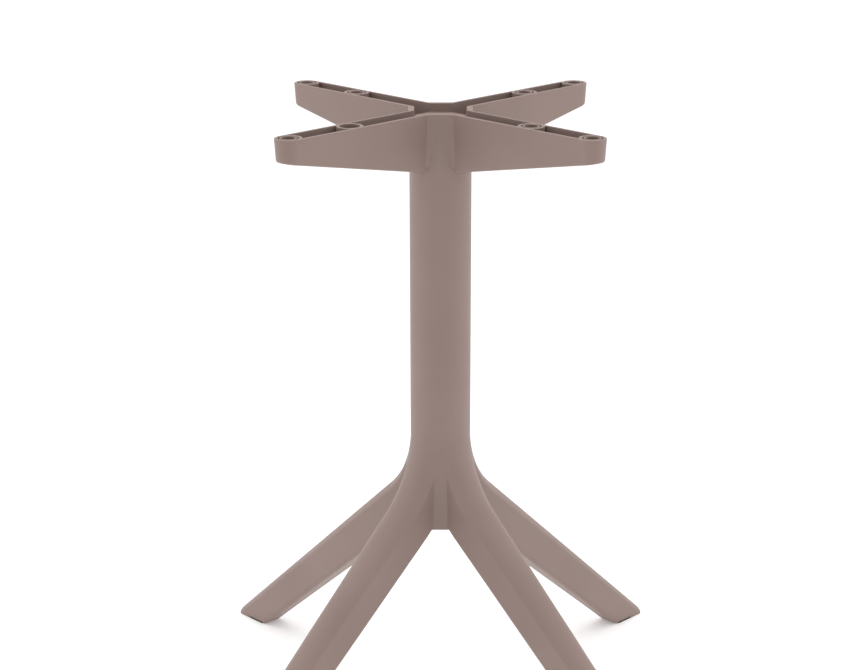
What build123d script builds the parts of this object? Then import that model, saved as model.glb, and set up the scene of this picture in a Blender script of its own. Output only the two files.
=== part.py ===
from build123d import *
from math import atan, cos, degrees, radians, sin, sqrt, tan
import os

# Whole base, in millimetres and degrees: it stands on the floor with its column on the Z axis,
# and its arms and legs share the four diagonals
height = 720.0
column_diameter = 68.6
limb_count = 4
first_diagonal = 45.0

# Spider on top: four open channels that carry the screw bosses
outer_hole_pitch = 310.0
inner_hole_pitch = 190.0
arm_root_width = 31.0
arm_tip_width = 29.4
arm_root_depth = 64.6
arm_tip_depth = 27.0
arm_draft = 3.4
arm_wall = 3.5
arm_floor = 4.0
arm_edge_radius = 3.0
arm_corner_radius = 2.0
hub_width = 70.6
hub_wall = 6.6
hub_recess_depth = 9.5
hub_corner_radius = 4.0
rim_radius = 0.8

# Screw bosses in the arms, open to a driver from below
boss_bore = 22.0
boss_seat_depth = 14.0
boss_seat_thickness = 4.0
screw_hole = 7.0
driver_bore = 15.0

# Bushes that drop into the bosses
bush_clearance = 0.2
bush_sleeve_diameter = 18.6
bush_well_diameter = 15.0
bush_collar_height = 4.0
bush_floor = 3.0

# Legs: they bend out of the column and run straight to the floor, thinner towards the foot
leg_slope = 41.85
bend_height = 356.0
bend_radius = 120.0
crown_inset = 0.2
leg_root_width = 42.0
leg_root_depth = 51.0
leg_root_crown = 25.0
leg_end_width = 28.3
leg_end_depth = 38.9
leg_end_crown = 17.0
leg_side_draft = 1.0
leg_corner_radius = 5.5
leg_shoulder_radius = 5.0

# Webs that fill the corners between the legs, below the column
web_width = 20.0
web_reach = 37.3
web_rise = 1.5
web_brow_reach = 39.3
web_brow_height = 305.0
web_top = 336.0
web_top_inset = 0.9

# Feet: a rounded toe and heel, with a slot across the sole for a pad
sole_height = 0.4
toe_radius = 5.5
heel_radius = 10.0
slot_depth = 2.2
toe_lip = 14.5
pad_length = 27.5
pad_clearance = 0.2
pad_side_inset = 0.8
pad_corner_radius = 3.0

# Places and angles that follow from the sizes above
column_radius = column_diameter / 2
tip_reach = outer_hole_pitch / sqrt(2)
mid_reach = inner_hole_pitch / sqrt(2)
arm_slope = (arm_root_depth - arm_tip_depth) / (tip_reach - column_radius)
arm_block = arm_root_depth + column_diameter * arm_slope
hub_inside = hub_width / 2 - hub_wall
limb_start = Plane.YZ.offset(column_radius / sqrt(2))
leg_turn = 90 - leg_slope
top_start = column_radius - crown_inset
bend_x = top_start + bend_radius * (1 - cos(radians(leg_turn)))
bend_z = bend_height - bend_radius * sin(radians(leg_turn))
leg_run = bend_z / sin(radians(leg_slope))
floor_x = bend_x + leg_run * cos(radians(leg_slope))


def arm_outline(inset):
    """Plan of one arm: a rounded tip and sides that spread towards the column."""
    with BuildSketch(Plane.XY.offset(height)) as outline:
        Circle(arm_root_width / 2 - inset)
        with Locations((tip_reach, 0)):
            Circle(arm_tip_width / 2 - inset)
        make_hull()
    return outline.sketch


def spider_outline(hub_half, inset, corner_radius):
    """Plan of the hub and its arms as one outline, with the corners between them rounded."""
    with BuildSketch(Plane.XY.offset(height)) as outline:
        Rectangle(2 * hub_half, 2 * hub_half)
        with PolarLocations(0, limb_count, start_angle=first_diagonal):
            add(arm_outline(inset))
        hub_corners = outline.vertices().filter_by(lambda corner: corner.center().length < mid_reach)
        fillet(hub_corners, radius=corner_radius)
    return outline.sketch


# One arm along +X: a drafted block with a sloping underside and rounded lower edges
with BuildPart() as arm:
    arm_under = Plane(origin=(tip_reach, 0, height - arm_tip_depth), z_dir=(-arm_slope, 0, 1))
    extrude(arm_outline(0), amount=-arm_block, taper=arm_draft)
    split(bisect_by=arm_under, keep=Keep.TOP)
    fillet(arm.faces().sort_by(Axis.Z)[0].edges(), radius=arm_edge_radius)
    split(bisect_by=limb_start, keep=Keep.TOP)

# The hub: flat faces between the arms that run out into the column
with BuildPart() as hub:
    with BuildSketch(Plane.XY.offset(height)):
        add(spider_outline(hub_width / 2, 0, arm_corner_radius))
        Circle(hub_width / sqrt(2), mode=Mode.INTERSECT)
    extrude(amount=2 * arm_edge_radius - arm_root_depth, taper=arm_draft)

# The bed under one arm's channel and its share of the hub: what the hollow leaves standing
with BuildPart() as channel_bed:
    with BuildSketch(Plane.XZ):
        with BuildLine():
            tip_floor = height - arm_tip_depth + arm_floor
            root_floor = tip_floor - (tip_reach - hub_inside) * arm_slope
            beyond_tip = tip_reach + arm_tip_width
            Polyline(
                (0, height - arm_block),
                (0, height - hub_recess_depth),
                (hub_inside, height - hub_recess_depth),
                (hub_inside, root_floor),
                (beyond_tip, root_floor + (beyond_tip - hub_inside) * arm_slope),
                (beyond_tip, height - arm_block),
                close=True,
            )
        make_face()
    extrude(amount=hub_inside, both=True)

# The hollow of the spider: the channels run into the hub and leave a ring of wall round each boss
with BuildPart() as hollow:
    hollow_outline = spider_outline(hub_inside, arm_wall, hub_corner_radius)
    extrude(hollow_outline, amount=-arm_root_depth, taper=arm_draft)
    with PolarLocations(0, limb_count, start_angle=first_diagonal):
        add(channel_bed.part, mode=Mode.SUBTRACT)
    with BuildSketch(Plane.XY.offset(height)):
        with GridLocations(outer_hole_pitch, outer_hole_pitch, 2, 2):
            Circle(boss_bore / 2 + arm_wall)
        with GridLocations(inner_hole_pitch, inner_hole_pitch, 2, 2):
            Circle(boss_bore / 2 + arm_wall)
    extrude(amount=-arm_block, mode=Mode.SUBTRACT)


def leg_plane(x, z, turn):
    """Plane square to a leg, on the ridge of its top, with its Y axis pointing out of the top."""
    return Plane(origin=(x, 0, z), x_dir=(0, 1, 0), z_dir=(sin(radians(turn)), 0, -cos(radians(turn))))


def leg_section(plane, width, depth, crown):
    """Section of a leg: a crowned top, drafted flat sides and a flat underside with round corners."""
    half = width / 2
    crown_drop = crown - sqrt(crown**2 - half**2)
    lower_half = half - (depth - crown_drop) * tan(radians(leg_side_draft))
    with BuildSketch(plane) as section:
        with BuildLine():
            top = ThreePointArc((half, -crown_drop), (0, 0), (-half, -crown_drop))
            Polyline(top @ 1, (-lower_half, -depth), (lower_half, -depth), top @ 0)
        make_face()
        fillet(section.vertices().group_by(Axis.Y)[0], radius=leg_corner_radius)
        fillet(section.vertices().group_by(Axis.Y)[-1], radius=leg_shoulder_radius)
    return section.sketch


# Sections of a leg: a quarter of the column, the end of the bend and where the top meets the floor
column_quarter = top_start * sqrt(2)
column_section = leg_section(leg_plane(top_start, bend_height, 0), column_quarter, leg_root_depth, top_start)
root_section = leg_section(leg_plane(bend_x, bend_z, leg_turn), leg_root_width, leg_root_depth, leg_root_crown)
end_section = leg_section(leg_plane(floor_x, 0, leg_turn), leg_end_width, leg_end_depth, leg_end_crown)

# The sole's outline in side view, where the underside and the ridge of the leg meet the floor
slope = radians(leg_slope)
square = Vector(sin(slope), cos(slope))
under_root = Vector(bend_x, bend_z) - square * leg_root_depth
under_end = Vector(floor_x, 0) - square * leg_end_depth
under_way = (under_end - under_root).normalized()
heel = under_root + under_way * ((sole_height - under_root.Y) / under_way.Y)
heel_tangent = heel_radius * tan(radians(abs(degrees(atan(under_way.Y / under_way.X))) / 2))
toe = Vector(floor_x - sole_height / tan(slope), sole_height)
toe_tangent = toe_radius / tan(slope / 2)
toe_start = Vector(toe.X - toe_tangent, sole_height)
toe_end = toe + Vector(-cos(slope), sin(slope)) * toe_tangent
slot_end = toe_start.X - toe_lip
slot_start = slot_end - pad_length
slot_top = sole_height + slot_depth

# One leg along +X: a bend with a changing section, a tapering straight run and the shaped foot
with BuildPart() as leg:
    with BuildLine() as bend_line:
        CenterArc((0, 0), bend_radius, 180, leg_turn)
    bend_path = Plane(origin=(top_start + bend_radius, 0, bend_height), x_dir=(1, 0, 0), z_dir=(0, -1, 0))
    sweep([column_section, root_section], path=bend_path * bend_line.line, multisection=True)
    loft([root_section, end_section], ruled=True)
    with BuildSketch(Plane.XZ):
        with BuildLine():
            heel_start = heel - under_way * heel_tangent
            heel_end = heel + Vector(heel_tangent, 0)
            TangentArc(heel_start, heel_end, tangent=under_way)
            Polyline(
                heel_end,
                (slot_start, sole_height),
                (slot_start, slot_top),
                (slot_end, slot_top),
                (slot_end, sole_height),
                toe_start,
            )
            TangentArc(toe_start, toe_end, tangent=(1, 0))
            below = -leg_root_depth
            beyond = floor_x + toe_radius
            Polyline(
                toe_end,
                toe_end + square * toe_radius,
                (beyond, toe_end.Y),
                (beyond, below),
                (heel_start.X, below),
                heel_start,
            )
        make_face()
    extrude(amount=leg_root_width, both=True, mode=Mode.SUBTRACT)
    split(bisect_by=limb_start, keep=Keep.TOP)

# The lower end of the webs, just above the height where the underside of the legs passes their corners
web_corner = web_reach * sqrt(2) - leg_root_width / 2
under_radius = bend_radius + leg_root_depth
under_drop = sqrt(under_radius**2 - (top_start + bend_radius - web_corner) ** 2)
crotch_height = bend_height - under_drop + web_rise

# One web along +X: a block that grows out of the column to a brow and falls back to its foot
with BuildPart() as web:
    with BuildSketch(Plane.XZ):
        with BuildLine():
            Polyline(
                (0, crotch_height),
                (web_reach, crotch_height),
                (web_brow_reach, web_brow_height),
                (column_radius - web_top_inset, web_top),
                (0, web_top),
                close=True,
            )
        make_face()
    extrude(amount=web_width / 2, both=True)

# The column, spider and legs: one moulding
with BuildPart() as base_moulding:
    with BuildSketch(Plane.XY.offset(crotch_height)):
        Circle(column_radius)
    extrude(amount=height - crotch_height)
    add(hub.part)
    with PolarLocations(0, limb_count, start_angle=first_diagonal):
        add(arm.part)
    add(hollow.part, mode=Mode.SUBTRACT)
    fillet(base_moulding.faces().sort_by(Axis.Z)[-1].outer_wire().edges(), radius=rim_radius)
    with Locations((0, 0, height)):
        with GridLocations(outer_hole_pitch, outer_hole_pitch, 2, 2):
            CounterBoreHole(screw_hole / 2, boss_bore / 2, boss_seat_depth)
        with GridLocations(inner_hole_pitch, inner_hole_pitch, 2, 2):
            CounterBoreHole(screw_hole / 2, boss_bore / 2, boss_seat_depth)
    with BuildSketch(Plane.XY.offset(height - boss_seat_depth - boss_seat_thickness)):
        with GridLocations(outer_hole_pitch, outer_hole_pitch, 2, 2):
            Circle(driver_bore / 2)
        with GridLocations(inner_hole_pitch, inner_hole_pitch, 2, 2):
            Circle(driver_bore / 2)
    extrude(amount=-arm_root_depth, mode=Mode.SUBTRACT)
    with PolarLocations(0, limb_count, start_angle=first_diagonal):
        add(leg.part)
    with PolarLocations(0, limb_count):
        add(web.part)


def screw_bush(x, y):
    """Stepped sleeve that stands on the seat of a boss: a fitting collar below, a slimmer sleeve above."""
    seat = height - boss_seat_depth
    collar_radius = boss_bore / 2 - bush_clearance
    with BuildPart() as bush:
        with BuildSketch(Plane(origin=(x, y, seat), x_dir=(1, 0, 0), z_dir=(0, -1, 0))):
            with BuildLine():
                Polyline(
                    (screw_hole / 2, 0),
                    (collar_radius, 0),
                    (collar_radius, bush_collar_height),
                    (bush_sleeve_diameter / 2, bush_collar_height),
                    (bush_sleeve_diameter / 2, boss_seat_depth),
                    (bush_well_diameter / 2, boss_seat_depth),
                    (bush_well_diameter / 2, bush_floor),
                    (screw_hole / 2, bush_floor),
                    close=True,
                )
            make_face()
        revolve(axis=Axis((x, y, 0), (0, 0, 1)))
    return bush.part


def foot_pad(angle):
    """Flat pad with round corners that fills the slot across a sole and stands on the floor."""
    middle = (slot_start + slot_end) / 2
    run = (middle - bend_x) * cos(slope) + bend_z * sin(slope)
    sole_width = leg_root_width + (leg_end_width - leg_root_width) * run / leg_run
    with BuildPart() as pad:
        with BuildSketch(Plane.XY.rotated((0, 0, angle))):
            with Locations((middle, 0)):
                RectangleRounded(
                    pad_length - 2 * pad_clearance,
                    sole_width - 2 * pad_side_inset,
                    pad_corner_radius,
                )
        extrude(amount=slot_top)
    return pad.part


os.makedirs("parts", exist_ok=True)
base_moulding.part.label = "base_moulding"
export_step(base_moulding.part, "parts/base_moulding.step")

corners = ("back_right", "back_left", "front_left", "front_right")
boss_rows = {"tip": tip_reach, "middle": mid_reach}
empty_boss = ("front_left", "middle")
for index, corner in enumerate(corners):
    angle = first_diagonal + index * 360 / limb_count
    pad = foot_pad(angle)
    pad.label = f"pad_{corner}"
    export_step(pad, f"parts/{pad.label}.step")
    for row, reach in boss_rows.items():
        if (corner, row) != empty_boss:
            bush = screw_bush(reach * cos(radians(angle)), reach * sin(radians(angle)))
            bush.label = f"bush_{corner}_{row}"
            export_step(bush, f"parts/{bush.label}.step")
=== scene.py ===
import math

import bpy
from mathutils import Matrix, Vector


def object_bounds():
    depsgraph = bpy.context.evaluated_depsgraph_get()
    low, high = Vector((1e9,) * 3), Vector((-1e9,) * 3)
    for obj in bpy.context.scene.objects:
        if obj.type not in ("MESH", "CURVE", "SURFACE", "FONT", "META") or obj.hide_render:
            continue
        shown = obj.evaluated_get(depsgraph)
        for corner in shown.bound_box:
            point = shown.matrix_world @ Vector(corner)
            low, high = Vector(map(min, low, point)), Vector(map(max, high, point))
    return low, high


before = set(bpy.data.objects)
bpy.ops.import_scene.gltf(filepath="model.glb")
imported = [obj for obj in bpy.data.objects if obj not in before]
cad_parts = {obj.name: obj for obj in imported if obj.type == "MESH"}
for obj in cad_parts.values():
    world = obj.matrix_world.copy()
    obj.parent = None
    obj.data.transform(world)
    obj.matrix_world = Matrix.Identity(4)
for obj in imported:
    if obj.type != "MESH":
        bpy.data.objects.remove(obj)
cad_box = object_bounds()

# Place of the camera, in metres and degrees, and its view in pixels of the picture
PICTURE_WIDTH = 860
PICTURE_HEIGHT = 670
CAMERA_PLACE = (0.0, -2.211, 1.1527)
CAMERA_PITCH = 19.865
FOCAL_PIXELS = 2043.1
AXIS_PIXEL = (440.45, 424.35)
SENSOR_WIDTH = 36.0

# Colours in linear light
TAUPE = (0.271, 0.194, 0.171)
TAUPE_PALE = (0.282, 0.203, 0.179)
TAUPE_DEEP = (0.260, 0.185, 0.163)
PAD_BLACK = (0.016, 0.015, 0.015)
PAD_GREY = (0.030, 0.028, 0.027)
FLOOR_WHITE = (0.93, 0.93, 0.93)
FLOOR_SHADE = (0.91, 0.91, 0.912)

# Resin: patches a metre of its clouds, grain and specks, and how much each of them shows
RESIN_CLOUDS = 9.0
RESIN_CLOUD_DETAIL = 3.0
RESIN_CLOUD_STOPS = [(0.32, 0.0), (0.68, 1.0)]
RESIN_GRAIN = 900.0
RESIN_GRAIN_DETAIL = 2.0
RESIN_SPECKS = 620.0
RESIN_SPECK_STOPS = [(0.10, 1.0), (0.24, 0.0)]
RESIN_SPECK_TINT = 0.35
RESIN_ROUGHNESS = 0.47
RESIN_GRAIN_ROUGHNESS = 0.10
RESIN_CLOUD_GLOSS = 0.03
RESIN_GRAIN_HEIGHT = 0.7
RESIN_SPECK_HEIGHT = 0.3
RESIN_BUMP = 0.16
RESIN_BUMP_DEPTH = 0.00035
RESIN_SPECULAR = 0.36

# Rubber: patches a metre of its grain and clouds, and how much they show
RUBBER_GRAIN = 1400.0
RUBBER_GRAIN_DETAIL = 3.0
RUBBER_CLOUDS = 60.0
RUBBER_CLOUD_DETAIL = 2.0
RUBBER_ROUGHNESS = 0.72
RUBBER_GRAIN_ROUGHNESS = 0.18
RUBBER_BUMP = 0.4
RUBBER_BUMP_DEPTH = 0.0004
RUBBER_SPECULAR = 0.35

# Breaking of the moulded edges, in metres
EDGE_BREAK = 0.0013
EDGE_SAMPLES = 6

# Floor paper: its side in metres, its clouds, and a glow that keeps it white
FLOOR_SIZE = 60.0
FLOOR_CLOUDS = 3.0
FLOOR_CLOUD_DETAIL = 2.0
FLOOR_ROUGHNESS = 0.85
FLOOR_CLOUD_ROUGHNESS = 0.1
FLOOR_SPECULAR = 0.0
FLOOR_GLOW_COLOUR = (1.0, 1.0, 1.0, 1.0)
FLOOR_GLOW = 0.20

# Light tent: it opens towards the camera above a white hem, and is bright at the sides and the back
TENT_STRENGTH = 1.0
TENT_STOPS = [(0.0, 0.0), (0.2, 0.14), (0.5, 0.90), (1.0, 0.92)]
TENT_MIDDLE = 0.5
TENT_BACK = 0.5
TENT_LIFT = 0.45
HEM_WHITE = (1.0, 1.0, 1.0)
HEM_STOPS = [(0.16, 1.0), (0.22, 0.0)]

# Lamps: sides and places in metres, power in watts
TOP_LIGHT_SIZE = 3.2
TOP_LIGHT_PLACE = (0.0, 0.3, 3.4)
TOP_LIGHT_POWER = 42.0
SIDE_LIGHT_SIZE = 2.4
SIDE_LIGHT_PLACES = {"left_light": (-2.6, 0.0, 1.1), "right_light": (2.6, 0.0, 1.1)}
SIDE_LIGHT_POWER = 9.0


class Shade:
    """One value on its way through a finish: sums and products of values become nodes."""

    def __init__(self, tree, socket):
        self.tree = tree
        self.socket = socket

    def node(self, kind, settings=None, out=0, **inputs):
        """Adds a node of that kind, with its settings first and then its values and links."""
        added = self.tree.nodes.new(kind)
        for name, value in (settings or {}).items():
            if name == "stops":
                fill_stops(added.color_ramp, value)
            else:
                setattr(added, name, value)
        for name, value in inputs.items():
            numbered = name[1:].isdigit()
            target = added.inputs[int(name[1:]) if numbered else name.replace("_", " ")]
            if isinstance(value, Shade):
                self.tree.links.new(value.socket, target)
            else:
                target.default_value = value
        return Shade(self.tree, added.outputs[out])

    def maths(self, operation, first, second):
        return self.node("ShaderNodeMath", {"operation": operation}, _0=first, _1=second)

    def __add__(self, other):
        return self.maths("ADD", self, other)

    def __radd__(self, other):
        return self.maths("ADD", other, self)

    def __sub__(self, other):
        return self.maths("SUBTRACT", self, other)

    def __rsub__(self, other):
        return self.maths("SUBTRACT", other, self)

    def __mul__(self, other):
        return self.maths("MULTIPLY", self, other)

    def __rmul__(self, other):
        return self.maths("MULTIPLY", other, self)

    def ramp(self, stops):
        """Reads this value off a scale of greys."""
        return self.node("ShaderNodeValToRGB", {"stops": stops}, Fac=self)

    def mix(self, low, high):
        """Goes from the low colour to the high one as this value goes from 0 to 1."""
        return self.node(
            "ShaderNodeMix", {"data_type": "RGBA"}, out=2, _0=self, _6=opaque(low), _7=opaque(high)
        )

    def bump(self, strength, depth, surface):
        """The surface's direction, roughened by this value as a height."""
        return self.node("ShaderNodeBump", Strength=strength, Distance=depth, Height=self, Normal=surface)


def opaque(colour):
    return colour if isinstance(colour, Shade) else (*colour, 1.0)


def fill_stops(ramp, stops):
    """Sets a ramp's stops from pairs of place and grey."""
    while len(ramp.elements) < len(stops):
        ramp.elements.new(1.0)
    for element, (place, grey) in zip(ramp.elements, stops):
        element.position = place
        element.color = (grey, grey, grey, 1.0)


def new_finish(name):
    """An empty finish with its shader, and the points of the piece to start its values from."""
    material = bpy.data.materials.new(name)
    material.use_nodes = True
    shader = material.node_tree.nodes["Principled BSDF"]
    where = Shade(material.node_tree, None).node("ShaderNodeTexCoord", out=3)
    return material, shader, where


def link(value, shader, name):
    value.tree.links.new(value.socket, shader.inputs[name])


def noise(where, scale, detail):
    """Even cloudy variation at that many patches a metre."""
    return where.node("ShaderNodeTexNoise", Vector=where, Scale=scale, Detail=detail)


def broken_edges(where):
    """The surface's direction, with each sharp edge broken as a mould leaves it."""
    return where.node("ShaderNodeBevel", {"samples": EDGE_SAMPLES}, Radius=EDGE_BREAK)


def moulded_resin(name):
    """Satin resin out of a spark-eroded mould: faint clouds of tone, a fine even grain and pin specks."""
    material, shader, where = new_finish(name)
    clouds = noise(where, RESIN_CLOUDS, RESIN_CLOUD_DETAIL)
    grain = noise(where, RESIN_GRAIN, RESIN_GRAIN_DETAIL)
    pits = where.node("ShaderNodeTexVoronoi", {"feature": "F1"}, Vector=where, Scale=RESIN_SPECKS)
    specks = pits.ramp(RESIN_SPECK_STOPS)
    tone = clouds.ramp(RESIN_CLOUD_STOPS)
    colour = tone.mix(TAUPE_DEEP, TAUPE_PALE)
    fleck = specks * RESIN_SPECK_TINT
    link(fleck.mix(colour, TAUPE), shader, "Base Color")
    link(RESIN_ROUGHNESS + grain * RESIN_GRAIN_ROUGHNESS - tone * RESIN_CLOUD_GLOSS, shader, "Roughness")
    height = grain * RESIN_GRAIN_HEIGHT + (1 - specks) * RESIN_SPECK_HEIGHT
    link(height.bump(RESIN_BUMP, RESIN_BUMP_DEPTH, broken_edges(where)), shader, "Normal")
    shader.inputs["Specular IOR Level"].default_value = RESIN_SPECULAR
    return material


def moulded_rubber(name):
    """Dark matt rubber with a coarse non-slip grain."""
    material, shader, where = new_finish(name)
    grain = noise(where, RUBBER_GRAIN, RUBBER_GRAIN_DETAIL)
    clouds = noise(where, RUBBER_CLOUDS, RUBBER_CLOUD_DETAIL)
    link(clouds.mix(PAD_BLACK, PAD_GREY), shader, "Base Color")
    link(RUBBER_ROUGHNESS + grain * RUBBER_GRAIN_ROUGHNESS, shader, "Roughness")
    link(grain.bump(RUBBER_BUMP, RUBBER_BUMP_DEPTH, broken_edges(where)), shader, "Normal")
    shader.inputs["Specular IOR Level"].default_value = RUBBER_SPECULAR
    return material


def studio_paper(name):
    """Matt white paper for the floor."""
    material, shader, where = new_finish(name)
    clouds = noise(where, FLOOR_CLOUDS, FLOOR_CLOUD_DETAIL)
    link(clouds.mix(FLOOR_SHADE, FLOOR_WHITE), shader, "Base Color")
    link(FLOOR_ROUGHNESS + clouds * FLOOR_CLOUD_ROUGHNESS, shader, "Roughness")
    shader.inputs["Specular IOR Level"].default_value = FLOOR_SPECULAR
    shader.inputs["Emission Color"].default_value = FLOOR_GLOW_COLOUR
    shader.inputs["Emission Strength"].default_value = FLOOR_GLOW
    return material


def dress(piece, material):
    """Gives a piece its finish in every slot."""
    for place in range(len(piece.data.materials)):
        piece.data.materials[place] = material


def add_floor():
    """A wide sheet of white paper under the base."""
    half = FLOOR_SIZE / 2
    corners = [(-half, -half, 0), (half, -half, 0), (half, half, 0), (-half, half, 0)]
    mesh = bpy.data.meshes.new("studio_floor")
    mesh.from_pydata(corners, [], [(0, 1, 2, 3)])
    mesh.materials.append(studio_paper("studio_paper"))
    floor = bpy.data.objects.new("studio_floor", mesh)
    bpy.context.collection.objects.link(floor)


def add_tent():
    """White light from all round, as in a light tent that opens towards the camera."""
    tent = bpy.data.worlds.new("light_tent")
    tent.use_nodes = True
    way = Shade(tent.node_tree, None).node("ShaderNodeTexCoord")
    backward = way.node("ShaderNodeSeparateXYZ", out=1, Vector=way)
    upward = way.node("ShaderNodeSeparateXYZ", out=2, Vector=way)
    glow = (TENT_MIDDLE + backward * TENT_BACK + upward * TENT_LIFT).ramp(TENT_STOPS)
    hem = upward.ramp(HEM_STOPS)
    cloth = tent.node_tree.nodes["Background"]
    link(hem.mix(glow, HEM_WHITE), cloth, "Color")
    cloth.inputs["Strength"].default_value = TENT_STRENGTH
    bpy.context.scene.world = tent


def add_area_light(name, place, size, power):
    """A soft square light that looks at the middle of the base."""
    light = bpy.data.lights.new(name, "AREA")
    light.shape = "SQUARE"
    light.size = size
    light.energy = power
    lamp = bpy.data.objects.new(name, light)
    lamp.location = place
    middle = (cad_box[0] + cad_box[1]) / 2
    lamp.rotation_euler = (middle - lamp.location).to_track_quat("-Z", "Y").to_euler()
    bpy.context.collection.objects.link(lamp)


def add_camera():
    """The camera in front of the base, looking down a little, with its frame shifted as in the picture."""
    camera = bpy.data.cameras.new("camera")
    camera.sensor_fit = "HORIZONTAL"
    camera.sensor_width = SENSOR_WIDTH
    camera.lens = FOCAL_PIXELS * SENSOR_WIDTH / PICTURE_WIDTH
    camera.shift_x = (PICTURE_WIDTH / 2 - AXIS_PIXEL[0]) / PICTURE_WIDTH
    camera.shift_y = (AXIS_PIXEL[1] - PICTURE_HEIGHT / 2) / PICTURE_WIDTH
    holder = bpy.data.objects.new("camera", camera)
    holder.location = CAMERA_PLACE
    holder.rotation_euler = (math.radians(90 - CAMERA_PITCH), 0, 0)
    bpy.context.collection.objects.link(holder)
    bpy.context.scene.camera = holder


resin = moulded_resin("taupe_resin")
bush_resin = moulded_resin("bush_resin")
pad_rubber = moulded_rubber("pad_rubber")

for node_name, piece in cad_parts.items():
    if node_name.startswith("bush_"):
        dress(piece, bush_resin)
    elif node_name.startswith("pad_"):
        dress(piece, pad_rubber)
    else:
        dress(piece, resin)

add_floor()
add_tent()
add_area_light("top_light", TOP_LIGHT_PLACE, TOP_LIGHT_SIZE, TOP_LIGHT_POWER)
for light_name, place in SIDE_LIGHT_PLACES.items():
    add_area_light(light_name, place, SIDE_LIGHT_SIZE, SIDE_LIGHT_POWER)
add_camera()
bpy.context.scene.view_settings.view_transform = "Standard"
